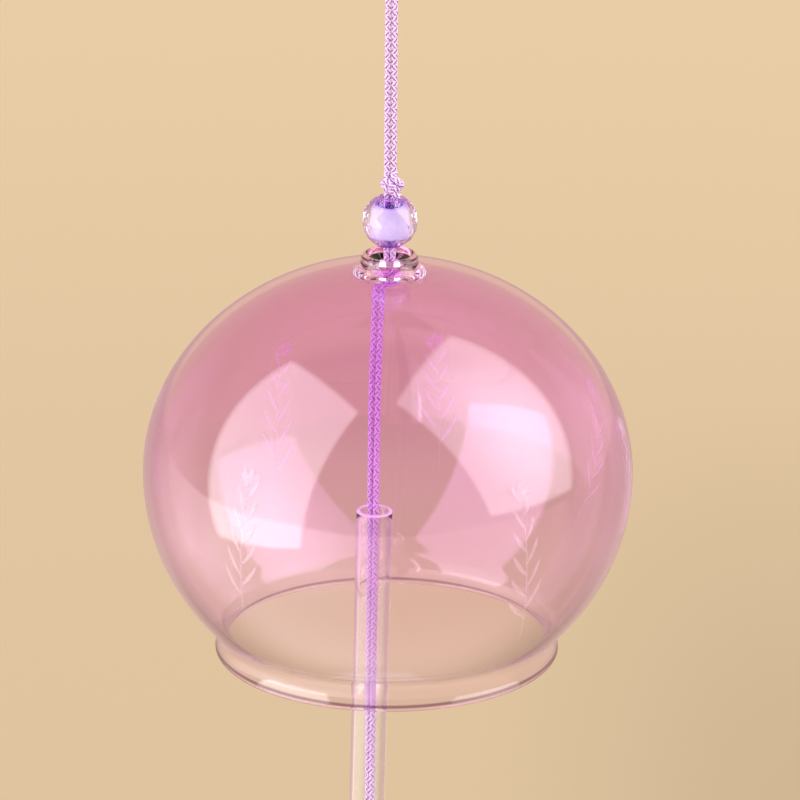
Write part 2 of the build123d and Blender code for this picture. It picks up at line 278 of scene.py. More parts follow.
def nurbs_line(points):
    """Points along the smooth NURBS curve that these control points, in millimetres, give."""
    curve = bpy.data.curves.new("route", "CURVE")
    curve.dimensions = "3D"
    spline = curve.splines.new("NURBS")
    spline.points.add(len(points) - 1)
    spline.points.foreach_set("co", np.c_[np.array(points) * MM, np.ones(len(points))].ravel())
    spline.order_u = 3
    spline.use_endpoint_u = True
    spline.resolution_u = ROUTE_RESOLUTION
    route = bpy.data.objects.new("route", curve)
    bpy.context.scene.collection.objects.link(route)
    bpy.context.view_layer.update()
    mesh = bpy.data.meshes.new_from_object(route.evaluated_get(bpy.context.evaluated_depsgraph_get()))
    line = np.empty(len(mesh.vertices) * 3, np.float32)
    mesh.vertices.foreach_get("co", line)
    bpy.data.meshes.remove(mesh)
    bpy.data.objects.remove(route)
    bpy.data.curves.remove(curve)
    return line.reshape(-1, 3).astype(float)


def plumb(x, *levels):
    """Points along the line that hangs straight down through these levels, in millimetres."""
    return nurbs_line([(x, 0, level) for level in levels])


def evenly(line, step):
    """The distance along a line, the point there and its direction, at even steps."""
    gaps = np.linalg.norm(np.diff(line, axis=0), axis=1)
    reach = np.concatenate([[0], np.cumsum(gaps)])
    count = max(int(round(reach[-1] / step)), FEWEST_STEPS) + 1
    where = np.linspace(0, reach[-1], count)
    points = np.stack([np.interp(where, reach, line[:, k]) for k in range(3)], 1)
    return where, points, unit(np.gradient(points, where, axis=0))


def square_to(direction, wanted):
    """Unit vectors square to the direction and as near as can be to the wanted ones, and those square to both."""
    side = unit(wanted - np.sum(wanted * direction, -1, keepdims=True) * direction)
    return side, np.cross(direction, side)


def tubes(rings, where):
    """Closed tubes from rings of points, with flat ends. rings is tubes by rings by sides by three.

    UV runs along the tube in millimetres and once round it.
    """
    count, rows, sides, _ = rings.shape
    centres = rings[:, [0, -1]].mean(2)
    points = np.concatenate([rings.reshape(count, -1, 3), centres], 1)
    wall = grid_quads(rows, sides, wrap_columns=True)
    fan = np.arange(0, sides, 2)
    start = np.stack([np.full(len(fan), rows * sides), fan, fan + 1, (fan + 2) % sides], -1)
    end = start[:, ::-1] + (rows - 1) * sides
    end[:, 3] = rows * sides + 1
    single = facing_out(points[0], np.concatenate([wall, start, end]))
    quads = (single[None] + np.arange(count)[:, None, None] * points.shape[1]).reshape(-1, 4)
    along = np.concatenate([np.repeat(where / MM, sides), where[[0, -1]] / MM])[single]
    column = np.concatenate([np.tile(np.arange(sides), rows), [0, 0]])[single]
    round_it = np.where((column == 0) & (column.max(1, keepdims=True) == sides - 1), sides, column) / sides
    uv = np.tile(np.stack([along, round_it], -1), (count, 1, 1))
    return points.reshape(-1, 3), quads, uv.reshape(-1, 2)


def braided(line, wanted, phase=0.0):
    """A braided strand along a line: yarns that wind both ways round it and pass over two and under two.

    A yarn is at an angle of way times turns plus its own place, and its distance from the line goes up and down
    with a cosine of four crossings. Each yarn is a tube of flat oval section that lies against the strand.
    wanted is a direction, or a function that gives one for each point of the line.
    """
    cord = settings().cord
    radius = cord.strand / 2
    crossing = cord.pitch / (2 * cord.carriers)
    where, middle, direction = evenly(line, crossing / RINGS_PER_CROSSING)
    side, across = square_to(direction, wanted(middle) if callable(wanted) else wanted + 0 * middle)
    yarn = np.arange(2 * cord.carriers)[:, None]
    way = np.where(yarn < cord.carriers, 1, -1)
    angle = way * TURN * where / cord.pitch + TURN * yarn / cord.carriers + phase
    lift = radius * (YARN_PLACE + YARN_RISE * way * np.cos(RIGHT_ANGLE * (where / crossing - 0.5)))
    outward = np.cos(angle)[..., None] * side + np.sin(angle)[..., None] * across
    centre = middle + lift[..., None] * outward
    run = unit(np.gradient(centre, axis=1))
    sideways = unit(np.cross(run, outward))
    outward = np.cross(sideways, run)
    turn = TURN * np.arange(YARN_SIDES) / YARN_SIDES
    oval = (np.cos(turn)[:, None] * sideways[:, :, None] * radius * YARN_HALF_WIDTH
            + np.sin(turn)[:, None] * outward[:, :, None] * radius * YARN_HALF_THICKNESS)
    return tubes(centre[:, :, None] + oval, where)


def joined(parts):
    """Several point, quad and UV arrays as one."""
    offsets = np.cumsum([0] + [len(p) for p, _, _ in parts[:-1]])
    points = np.concatenate([p for p, _, _ in parts])
    quads = np.concatenate([q + o for (_, q, _), o in zip(parts, offsets)])
    return points, quads, np.concatenate([u for _, _, u in parts])


def doubled(line):
    """Two braided strands side by side along a line, which slowly go round each other."""
    cord = settings().cord
    where, middle, direction = evenly(line, cord.pitch / POINTS_PER_PITCH)
    side, across = square_to(direction, SIDEWAYS + 0 * middle)
    angle = (TURN * where / cord.twist)[:, None]
    apart = cord.strand / 2 * (np.cos(angle) * side + np.sin(angle) * across)
    return joined([braided(middle + way * apart, TOWARDS, way) for way in (1, -1)])


# Control points of a knot's strand in millimetres: along the turns in front, towards the viewer, across the turns
KNOT_ROUTE = [(-0.7, 0.3, 1.9), (-1.5, 1.25, 1.2), (1.45, 1.3, 0.95), (1.4, -1.25, 0.7), (-1.4, -1.25, 0.35),
              (-1.55, 1.5, 0.1), (1.6, 1.5, -0.15), (1.4, -1.3, -0.4), (-1.4, -1.25, -0.7),
              (-1.35, 1.25, -0.95), (0.6, 1.5, -1.0), (2.35, 1.15, -0.95)]


def coiled(centre, size, degrees):
    """A strand wound three times round itself into a knot, with one end out at its side.

    The turns in front run down to the right at this angle. The braid's yarns start away from the knot's axis.
    """
    slope = math.radians(degrees)
    along = np.array([math.cos(slope), 0, -math.sin(slope)])
    across = np.array([math.sin(slope), 0, math.cos(slope)])
    route = np.array(KNOT_ROUTE) * size @ np.stack([along, TOWARDS, across]) + np.array(centre)
    middle = np.array(centre) * MM

    def away(points):
        return (points - middle) - np.outer((points - middle) @ across, across)

    return braided(nurbs_line(route), away)


def braid_piece(name, parts, body, *nodes):
    """Braided strands as one piece."""
    points, quads, uv = joined(parts)
    piece = make_piece(name, points, quads, bpy.data.materials["braid_yarn"], uv)
    return seat(piece, body, "lilac_cord", *nodes)


# Nodes of materials

# For each kind of Mix node, the sockets of the two things that it mixes and of the result
MIX_SOCKETS = {"FLOAT": (2, 3, 0), "RGBA": (6, 7, 2)}


def rgba(rgb):
    """A colour with nothing see-through."""
    return (*rgb, 1.0)


def plug(tree, value, socket):
    """Puts a number, a colour or the output of another node on a socket."""
    if isinstance(value, bpy.types.NodeSocket):
        tree.links.new(value, socket)
    else:
        socket.default_value = rgba(value) if socket.type == "RGBA" else value


def fill(tree, shader, values):
    """Puts values on a shader's sockets, which are given by name."""
    for name, value in values.items():
        plug(tree, value, shader.inputs[name])


def node(tree, kind, *first, **named):
    """A node with values for its first sockets in order, and named values for other sockets or its settings."""
    made = tree.nodes.new(kind)
    for name, value in named.items():
        if name in made.inputs:
            plug(tree, value, made.inputs[name])
        else:
            setattr(made, name, value)
    for socket, value in zip(made.inputs, first):
        plug(tree, value, socket)
    return made


def reckon(tree, operation, *values):
    """The result of a Math node on these values, each a number or the output of a node."""
    return node(tree, "ShaderNodeMath", *values, operation=operation).outputs[0]


def part_way(tree, value, start, end):
    """How far a value is from start to end, from 0 to 1."""
    return node(tree, "ShaderNodeMapRange", value, start, end).outputs["Result"]


def eased(tree, value, start, end, low=0.0, high=1.0):
    """A value that goes smoothly from low to high while another goes from start to end."""
    made = node(tree, "ShaderNodeMapRange", value, start, end, low, high, interpolation_type="SMOOTHSTEP")
    return made.outputs["Result"]


def blended(tree, share, first, second, kind="RGBA"):
    """A mix of two colours, or of two values, each given or the output of a node."""
    made = node(tree, "ShaderNodeMix", share, data_type=kind)
    first_socket, second_socket, result = MIX_SOCKETS[kind]
    plug(tree, first, made.inputs[first_socket])
    plug(tree, second, made.inputs[second_socket])
    return made.outputs[result]


def ramp_of(tree, stops, share):
    """The colour, at a share, of a ramp with these stops of position and colour."""
    ramp = node(tree, "ShaderNodeValToRGB", share)
    while len(ramp.color_ramp.elements) < len(stops):
        ramp.color_ramp.elements.new(0.5)
    for element, (position, tint) in zip(ramp.color_ramp.elements, stops):
        element.position = position
        element.color = rgba(tint)
    return ramp.outputs["Color"]


def place_in(tree, system):
    """The point in one of the systems of the Texture Coordinate node."""
    return node(tree, "ShaderNodeTexCoord").outputs[system]


def split(tree, vector):
    """The three parts of a vector."""
    return tuple(node(tree, "ShaderNodeSeparateXYZ", vector).outputs)


def bumped(tree, height, strength, depth):
    """The normal of a surface that a height raises."""
    return node(tree, "ShaderNodeBump", Height=height, Strength=strength, Distance=depth).outputs["Normal"]


# Materials

# How far from face on, from 0 to 1, glass starts to take the painted shade of its outline and has it in full
SLANT_SHADE_STARTS, SLANT_SHADE_FULL = 0.5, 0.85
# Dims lamplight through glass a little more than the tint says, for what the surfaces send back
LAMPLIGHT_GAMMA = 1.3


def new_material(name):
    """A material, its tree and its Principled shader."""
    material = bpy.data.materials.new(name)
    material.use_nodes = True
    return material, material.node_tree, material.node_tree.nodes["Principled BSDF"]


def glass(name, stops, ior, low=None, high=None, edge=None):
    """Clear glass whose tint changes between two levels, or else with its UV map, and that lets lamplight through.

    edge is a painted shade: the darker tint where the glass is seen at a slant, at its outline, if that is another
    one.
    """
    material, tree, shader = new_material(name)
    if low is None:
        _, share, _ = split(tree, place_in(tree, "UV"))
    else:
        _, _, level = split(tree, place_in(tree, "Object"))
        share = part_way(tree, level, low, high)
    body = ramp_of(tree, stops, share)
    tint = body
    if edge is not None:
        # Painted shade: the tint darkens towards the outline, where the glass is seen at a slant.
        facing = node(tree, "ShaderNodeLayerWeight", Blend=0.5).outputs["Facing"]
        tint = blended(tree, part_way(tree, facing, SLANT_SHADE_STARTS, SLANT_SHADE_FULL), body, edge)
    fill(tree, shader, {"Base Color": tint, "Roughness": 0.0, "IOR": ior, "Transmission Weight": 1.0})
    dimmed = node(tree, "ShaderNodeGamma", Color=body, Gamma=LAMPLIGHT_GAMMA).outputs["Color"]
    through = node(tree, "ShaderNodeBsdfTransparent", Color=dimmed).outputs["BSDF"]
    lamplight = node(tree, "ShaderNodeLightPath").outputs["Is Shadow Ray"]
    both = node(tree, "ShaderNodeMixShader", lamplight, shader.outputs["BSDF"], through)
    plug(tree, both.outputs["Shader"], tree.nodes["Material Output"].inputs["Surface"])
    return material


def bell_glass():
    """Blown glass, tinted deeper towards the crown, with a painted shade line round the lip, where its refraction
    shows dark.

    The stops are shares of the way from the lip's edge up to the rim.
    """
    bell = settings().bell
    # The dark stops near the lip are a painted shade line.
    stops = [(0.0, bell.lip_tint), (0.0102, bell.lip_tint), (0.0120, bell.painted_shade_line), (0.0155, bell.painted_shade_line),
             (0.0173, bell.mouth_tint), (0.14, bell.mouth_tint), (0.45, bell.middle_tint),
             (0.74, bell.shoulder_tint), (0.955, bell.crown_tint), (0.975, bell.rim_tint)]
    return glass("pink_glass", stops, ior=1.46)


def cord_yarn():
    """Satin yarn with painted light and shade: pale on its top and darker at its sides, in the crevices between yarns,
    with fine filaments along it.

    The painted shade deepens with the distance round the yarn from its top, and a little with the filaments' noise.
    """
    cord = settings().cord
    top, filament_share = 0.25, 0.35
    material, tree, shader = new_material("braid_yarn")
    place = place_in(tree, "UV")
    stretched = node(tree, "ShaderNodeMapping", place, Scale=(0.8, 14.0, 1.0)).outputs["Vector"]
    filaments = node(tree, "ShaderNodeTexNoise", Vector=stretched, Scale=2.0, Detail=3.0, Roughness=0.6).outputs["Fac"]
    _, round_it, _ = split(tree, place)
    # Painted shade: darker the farther round the yarn from its top.
    from_top = reckon(tree, "ABSOLUTE", reckon(tree, "SUBTRACT", round_it, top))
    deep = reckon(tree, "MULTIPLY_ADD", filaments, filament_share, from_top)
    fill(tree, shader, {
        "Base Color": ramp_of(tree, [(0.23, cord.yarn), (0.43, cord.painted_crevice_shade)], deep),
        "Normal": bumped(tree, filaments, 0.4, 0.03 * MM),
        "Roughness": 0.5,
        "Specular IOR Level": 0.25,
    })
    return material


def mottled(name, first, second, scale, change, roughness, distortion=0.0, alpha=1.0, bump=None):
    """A material of two colours that run into each other in soft patches.

    The colour goes from the first to the second between the two values of the patches' noise that change gives.
    bump is a strength and a depth, where the patches also stand out.
    """
    material, tree, shader = new_material(name)
    patches = node(tree, "ShaderNodeTexNoise", Vector=place_in(tree, "Object"), Scale=scale, Detail=4.0,
                   Roughness=0.6, Distortion=distortion).outputs["Fac"]
    tint = ramp_of(tree, list(zip(change, (first, second))), patches)
    fill(tree, shader, {"Base Color": tint, "Roughness": roughness, "Alpha": alpha})
    if bump:
        fill(tree, shader, {"Normal": bumped(tree, patches, *bump)})
    return material


# Shape of the bell

BELL_SEGMENTS = 256
SEARCH_POINTS = 20000
# Points along the stretches of the bell's outline
RIM_POINTS, NECK_POINTS, DOME_POINTS, LOWER_POINTS = 14, 12, 90, 70
WAIST_POINTS, LIP_POINTS, SEAT_POINTS, STRAIGHT_POINTS = 10, 14, 10, 6
# The waves of the blown wall: how many go round, their phase, their twist over the dome's height and their share
WAVES = ((2, 1.1, 1.7, 1.0), (3, -0.4, -2.6, 0.6))
# How far the print stands clear of the glass, and its thickness, in millimetres
PRINT_CLEAR, PRINT_THICK = 0.02, 0.03
# Each sprig's azimuth in degrees, level over the bell's middle in millimetres, slope in degrees and height
SPRIGS = ((-128, -15, 80, 27), (-52, -19, 104, 30), (-14, -13, 72, 25), (28, -17, 98, 29),
          (76, -14, 84, 26), (122, -18, 101, 30), (168, -14, 76, 27))


def ellipse(half_width, half_height, angle):
    """Points of an upright ellipse at these angles, and the outward normals there."""
    point = np.stack([half_width * np.cos(angle), half_height * np.sin(angle)], -1)
    return point, unit(np.stack([half_height * np.cos(angle), half_width * np.sin(angle)], -1))


def normal_angle(half_width, half_height, angle):
    """The angle over level of an upright ellipse's outward normal."""
    across, up = ellipse(half_width, half_height, angle)[1]
    return math.atan2(up, across)


def first_zero(values, angles):
    """The angle at which the values change sign."""
    at = np.argmax(np.diff(np.sign(values)) != 0)
    share = values[at] / (values[at] - values[at + 1])
    return angles[at] + share * (angles[at + 1] - angles[at])


def neck_round(half_width, half_height, radius, level):
    """The angle on the dome and the size of the round that runs from (radius, level) straight down out onto it."""
    angles = np.radians(np.linspace(60, 89.5, SEARCH_POINTS))
    point, normal = ellipse(half_width, half_height, angles)
    size = (level - point[:, 1]) / normal[:, 1]
    angle = first_zero(point[:, 0] + size * normal[:, 0] - radius - size, angles)
    point, normal = ellipse(half_width, half_height, angle)
    return angle, (level - point[1]) / normal[1]


def waist_round(half_width, half_height, radius, size):
    """The angle on the lower ellipse, and the centre, of the round of this size that draws in to this radius."""
    angles = np.radians(np.linspace(-80, -5, SEARCH_POINTS))
    point, normal = ellipse(half_width, half_height, angles)
    angle = first_zero(point[:, 0] + size * normal[:, 0] - radius - size, angles)
    point, normal = ellipse(half_width, half_height, angle)
    return angle, point + size * normal


def arc(centre, size, start, end, count):
    """Points on a circle from one angle to another, the last left out."""
    angle = np.linspace(start, end, count, endpoint=False)[:, None]
    return np.array(centre) + size * np.concatenate([np.cos(angle), np.sin(angle)], 1)


def bell_profile():
    """Outline of the glass wall, from the rim down the outside, round the lip and up the inside.

    Half ellipses above and below the widest place, joined by rounds to the rim, the throat and the sloping lip.
    """
    bell = settings().bell
    wall, rim_round = bell.wall, bell.rim_wall / 2
    dome, in_dome = (bell.width / 2, bell.dome), (bell.width / 2 - wall, bell.dome - wall)
    lower, in_lower = (bell.width / 2, bell.lower), (bell.width / 2 - wall, bell.lower - wall)
    rim = bell.rim_width / 2
    edge = bell.dome + bell.rim_rise - rim_round
    seat_level = bell.dome + bell.rim_rise - bell.throat_depth
    in_round = bell.waist_round + wall
    dome_angle, dome_size = neck_round(*dome, rim, edge)
    seat_angle, seat_size = neck_round(*in_dome, bell.throat, seat_level)
    low_angle, low = waist_round(*lower, bell.waist / 2, bell.waist_round)
    in_angle, in_low = waist_round(*in_lower, bell.waist / 2 - wall, in_round)
    across = np.array([-math.cos(bell.flare), -math.sin(bell.flare)])
    down = np.array([math.sin(bell.flare), -math.cos(bell.flare)])
    flare_start = low + across * bell.waist_round
    lip_outside = flare_start + down * (bell.lip / 2 - flare_start[0]) / down[0]
    lip_middle = lip_outside + across * wall / 2
    lip_inside = lip_outside + across * wall
    in_start = in_low + across * in_round
    flat = math.pi + bell.flare
    throat_top = np.array([bell.throat, seat_level + bell.throat_length])
    stretch = np.linspace(0, 1, STRAIGHT_POINTS, endpoint=False)[:, None]

    def curve(shape, start, end, count):
        return ellipse(*shape, np.linspace(start, end, count, endpoint=False))[0]

    parts = [
        arc((rim - rim_round, edge), rim_round, math.pi, 0, RIM_POINTS),
        arc((rim + dome_size, edge), dome_size, math.pi, math.pi + normal_angle(*dome, dome_angle), NECK_POINTS),
        curve(dome, dome_angle, 0, DOME_POINTS),
        curve(lower, 0, low_angle, LOWER_POINTS),
        arc(low, bell.waist_round, math.pi + normal_angle(*lower, low_angle), flat, WAIST_POINTS),
        flare_start + stretch * (lip_outside - flare_start),
        arc(lip_middle, wall / 2, bell.flare, bell.flare - math.pi, LIP_POINTS),
        lip_inside + stretch * (in_start - lip_inside),
        arc(in_low, in_round, flat, math.pi + normal_angle(*in_lower, in_angle), WAIST_POINTS),
        curve(in_lower, in_angle, 0, LOWER_POINTS),
        curve(in_dome, 0, seat_angle, DOME_POINTS),
        arc((bell.throat + seat_size, seat_level), seat_size, math.pi + normal_angle(*in_dome, seat_angle), math.pi,
            SEAT_POINTS),
        np.array([bell.throat, seat_level]) + stretch * (0, bell.throat_length),
        throat_top + stretch * (np.array([rim - bell.rim_wall, edge]) - throat_top),
    ]
    return np.concatenate(parts) + (0, bell.middle)


def blown(points):
    """Lets a turned shape wander from its true round by slow waves of angle and level, as blown glass does."""
    bell = settings().bell
    angle = np.arctan2(points[:, 1], points[:, 0])
    level = (points[:, 2] - bell.middle) / bell.dome
    wave = sum(share * np.sin(count * angle + phase + twist * level) for count, phase, twist, share in WAVES)
    reach = np.hypot(points[:, 0], points[:, 1]) / (bell.width / 2)
    shift = bell.waviness * wave * reach ** 2
    away = np.stack([np.cos(angle), np.sin(angle), 0 * angle], -1)
    return points + shift[:, None] * away


def on_bell(azimuth, level, across, up):
    """Points just clear of the bell's outside, by distances across and up from a place of this azimuth and level.

    The angle round the upper or lower ellipse changes by distance over the ellipse's speed, and the azimuth by
    distance over the radius there.
    """
    bell = settings().bell
    radius = bell.width / 2
    height = np.where(level >= 0, bell.dome, bell.lower)
    first = np.arcsin(level / height)
    speed = np.hypot(radius * np.sin(first), height * np.cos(first))
    angle = first + up / speed
    turn = azimuth + across / (radius * np.cos(angle))
    height = np.where(angle >= 0, bell.dome, bell.lower)
    point, normal = ellipse(radius, height, angle)
    point = point + normal * PRINT_CLEAR * MM
    return np.stack([point[..., 0] * np.cos(turn), point[..., 0] * np.sin(turn), point[..., 1] + bell.middle], -1)


# Operators

class MakeHangingCord(bpy.types.Operator):
    """Make the braided loop that the bell hangs on, and the knot over the bead"""
    bl_idname = "wind_bell.hanging_cord"
    bl_label = "Hanging cord"

    def execute(self, context):
        cord_yarn()
        # In millimetres: up from the knot beside the other strand, then apart and round the hook
        beside = settings().cord.strand / 2 / MM
        left = [(-beside, 0, -62.6), (-beside, 0, -36), (-beside, 0, -29), (-2.1, 0, -6), (-2.35, 0, 0.57)]
        line = nurbs_line(left + [(-x, y, z) for x, y, z in reversed(left)])
        loop = braid_piece("hanging_braid", [braided(line, TOWARDS)], "hanger", "hanging_loop")
        knot = coiled((0.35, 0, -64.0), size=0.92, degrees=37)
        core = doubled(plumb(0, -62.3, -64, -65.9))
        braid_piece("top_knot_braid", [knot, core], "hanger", "top_knot")
        return {"FINISHED"}


class MakeClapperCord(bpy.types.Operator):
    """Make the braided cord from the top knot down to the paper, with its knots"""
    bl_idname = "wind_bell.clapper_cord"
    bl_label = "Clapper cord"

    def execute(self, context):
        braid_piece("neck_braid", [doubled(plumb(0, -65.8, -72, -78.6))], "neck", "neck_cord")
        braid_piece("stop_knot_braid", [coiled((0, 0, -80.03), size=1.0, degrees=-30)], "stop", "stop_knot")

        line = nurbs_line([(-1.6, 0, -81.6), (-2.2, 0, -92), (-2.4, 0, -120), (-2.6, 0, -150), (-2.6, 0, -186)])
        hanging = braid_piece("clapper_braid", [doubled(line)], "clapper", "clapper_cord")

        knot_x, leg_gap = -2.4, 2.4
        knot = (knot_x, 0, -188.12)
        core = doubled(plumb(knot_x, -185.9, -188, -190.4))
        turns = [coiled(knot, size=1.3, degrees=30), coiled(knot, size=1.15, degrees=-40)]
        braid_piece("clapper_knot_braid", turns + [core], "lower_knot", "clapper_knot")

        leg = [(knot_x, -leg_gap / 2, level) for level in (-190.3, -194.5, -197.0)]
        tail = nurbs_line(leg + [(x, -y, z) for x, y, z in reversed(leg)])
        braid_piece("tail_braid", [braided(tail, SIDEWAYS)], "paper", "tail_loop")
        return {"FINISHED"}


class MakeBell(bpy.types.Operator):
    """Make the blown glass bell and the sprigs printed on it"""
    bl_idname = "wind_bell.bell"
    bl_label = "Glass bell"

    def execute(self, context):
        """The wall's outline, turned. UV gives the share of the way up, for the tints.

        Inside, that share starts over the painted shade line round the lip, so that the line is only on the outside.
        """
        over_the_line = 0.03
        profile = bell_profile()
        points, quads = turned(profile, BELL_SEGMENTS)
        share = (profile[:, 1] - profile[:, 1].min()) / np.ptp(profile[:, 1])
        inside = np.arange(len(share)) > np.argmin(share)
        share = np.repeat(np.where(inside, np.maximum(share, over_the_line), share), BELL_SEGMENTS)[quads]
        uv = np.stack([0 * share, share], -1).reshape(-1, 2)
        piece = make_piece("bell_glass", blown(points), quads, bell_glass(), uv)
        seat(piece, "bell", "pink_glass", "glass_bell")
        self.print_sprigs()
        return {"FINISHED"}

    def print_sprigs(self):
        """Thin sprigs of slim leaves, with a small blossom at each tip, all round the bell.

        Stems, leaves and petals are all blades: each starts at a place, runs off at an angle, bends evenly and
        is as wide as a sine of its length to a power. All blades are one grid each, laid on the glass.
        """
        bell = settings().bell
        leaves, petals = 11, 5
        rows, columns = 15, 3
        narrowest, fullness = 0.02, 0.7
        stem_turn = 1.1
        azimuth, level, slope, tall = (v[:, None] for v in np.array(SPRIGS, float).T)
        slope = np.radians(slope)
        bend = stem_turn * np.cos(slope) / tall
        at = np.linspace(0.22, 0.94, leaves)
        hand = np.where(np.arange(leaves) % 2 == 0, 1, -1)

        def on_stem(share):
            """Across, up and heading at shares of the stem's length."""
            run = share * tall
            chord = slope + bend * run / 2
            return run * np.cos(chord), run * np.sin(chord), slope + bend * run

        def gathered(stem, leaf, petal):
            """One value for each blade: a sprig's stem, then its leaves and its petals."""
            counts = ((stem, 1), (leaf, leaves), (petal, petals))
            blades = [np.broadcast_to(value, (len(SPRIGS), count)) for value, count in counts]
            return np.concatenate(blades, 1).reshape(-1, 1, 1)

        leaf_x, leaf_z, leaf_turn = on_stem(at)
        leaf_turn = leaf_turn + hand * np.radians(46 - 14 * at)
        tip_x, tip_z, tip_turn = on_stem(np.ones(petals))
        tip_turn = tip_turn + TURN * np.arange(petals) / petals
        x = gathered(0 * tall, leaf_x, tip_x)
        z = gathered(0 * tall, leaf_z, tip_z)
        turn = gathered(slope, leaf_turn, tip_turn)
        long = gathered(stem=tall, leaf=6.4 - 2.6 * at, petal=2.0)
        curve = gathered(stem=bend * tall, leaf=-0.35 * hand, petal=0.0)
        half = gathered(stem=0.10, leaf=0.36, petal=0.52)
        azimuth, level = gathered(azimuth, azimuth, azimuth), gathered(level, level, level)
        s = np.linspace(0, 1, rows)[None, :, None]
        q = np.linspace(-1, 1, columns)[None, None, :]
        heading = turn + curve * s / 2
        width = half * q * np.clip(np.sin(math.pi * s), narrowest, 1) ** fullness
        across = x + long * s * np.cos(heading) - width * np.sin(turn + curve * s)
        up = z + long * s * np.sin(heading) + width * np.cos(turn + curve * s)
        points = on_bell(np.radians(azimuth), level * MM, across * MM, up * MM)
        first = np.arange(len(points))[:, None, None] * rows * columns
        quads = (grid_quads(rows, columns)[None] + first).reshape(-1, 4)
        material = mottled("white_print", bell.enamel, bell.enamel_thin, scale=900.0, change=(0.4, 0.65),
                           roughness=0.7, alpha=0.12)
        piece = make_piece("sprig_print", blown(points.reshape(-1, 3)), quads[:, ::-1], material)
        thickened(piece, PRINT_THICK * MM, 1)
        seat(piece, "bell", "pink_glass")


class MakeBead(bpy.types.Operator):
    """Make the clear faceted bead and its pale core"""
    bl_idname = "wind_bell.bead"
    bl_label = "Bead"

    def execute(self, context):
        bead = settings().bead
        low, high = bead.middle - bead.half_height, bead.middle + bead.half_height
        stops = [(0.0, bead.deep), (0.08, bead.deep), (0.24, bead.clear), (0.84, bead.clear), (0.96, bead.deep)]
        points, faces = self.ball()
        clear = glass("violet_bead", stops, ior=1.49, low=low, high=high, edge=bead.edge)
        piece = make_piece("bead_clear", points, faces, clear, smooth=False)
        seat(piece, "bead", "violet_bead", "bead_shell")

        points, quads = turned(self.heart_section(), segments=96)
        core = mottled("pale_bead", bead.core, bead.core_shade, scale=700.0, change=(0.35, 0.7), roughness=0.3)
        seat(make_piece("bead_heart", points, quads, core), "bead", "pale_bead", "bead_core")
        return {"FINISHED"}

    def heart_section(self):
        """A rounded square section round the hole: a circle's sine and cosine, each to a power under one."""
        bead = settings().bead
        clearance = 0.02 * MM
        hole = bead.hole + clearance
        half = (bead.core_radius - hole) / 2
        angle = np.linspace(0, TURN, 48, endpoint=False)

        def squared(wave, power):
            return np.sign(wave) * np.abs(wave) ** power

        radius = hole + half * (1 + squared(np.cos(angle), 0.5))
        return np.stack([radius, bead.middle + bead.core_half_height * squared(np.sin(angle), 0.6)], -1)

    def ball(self):
        """Rows of points on a ball, each half a side on from the last, joined by triangles, with a round hole.

        The end rows have a point halfway along each side as well, so that the hole has twice as many sides.
        """
        bead = settings().bead
        sides, bands = bead.sides, bead.bands
        row = np.arange(bands + 1)[:, None]
        side = np.arange(sides)[None, :]
        ball = bead.width / 2
        latitude = math.asin(bead.half_height / ball) * (1 - 2 * row / bands)
        turn = TURN * (side + (row % 2) / 2) / sides
        rows = ball * np.stack([np.cos(latitude) * np.cos(turn), np.cos(latitude) * np.sin(turn),
                                np.sin(latitude) + 0 * turn], -1)
        ends = rows[[0, -1]]
        halves = (ends + np.roll(ends, -1, 1)) / 2
        hole_turn = turn[[0, -1], :1] + TURN * np.arange(2 * sides) / (2 * sides)
        hole = np.stack([bead.hole * np.cos(hole_turn), bead.hole * np.sin(hole_turn),
                         ends[:, :1, 2] + 0 * hole_turn], -1)
        points = np.concatenate([rows.reshape(-1, 3), halves.reshape(-1, 3), hole.reshape(-1, 3)])

        def at(r, s):
            return r * sides + s % sides

        first_half, first_hole = rows.size // 3, (rows.size + halves.size) // 3
        s, t = np.arange(sides), np.arange(2 * sides)
        faces = []
        for band in range(bands):
            a, b, c, d = at(band, s), at(band, s + 1), at(band + 1, s), at(band + 1, s + 1)
            upright, hanging = ((a, c, b), (b, c, d)) if band % 2 == 0 else ((a, d, b), (a, c, d))
            for corners, end_band, end in ((upright, 0, 0), (hanging, bands - 1, 1)):
                if band != end_band:
                    faces.append(corners)
                    continue
                half = first_half + end * sides + s
                p, q, r = corners
                faces += [(p, q, half), (half, q, r) if end == 0 else (p, half, r)]
        for end in (0, 1):
            outer = np.stack([at(end * bands, s), first_half + end * sides + s], -1).ravel()
            inner = first_hole + end * 2 * sides + t
            ring = [(outer, np.roll(outer, -1), inner), (np.roll(outer, -1), np.roll(inner, -1), inner)]
            faces += ring if end == 0 else [face[::-1] for face in ring]
        top, foot = first_hole + t, np.roll(first_hole + 2 * sides + t, bands % 2)
        faces += [(top, np.roll(top, -1), foot), (np.roll(top, -1), np.roll(foot, -1), foot)]
        triangles = np.concatenate([np.stack(face, -1) for face in faces])
        return points + np.array([0, 0, bead.middle]), facing_out(points, triangles)


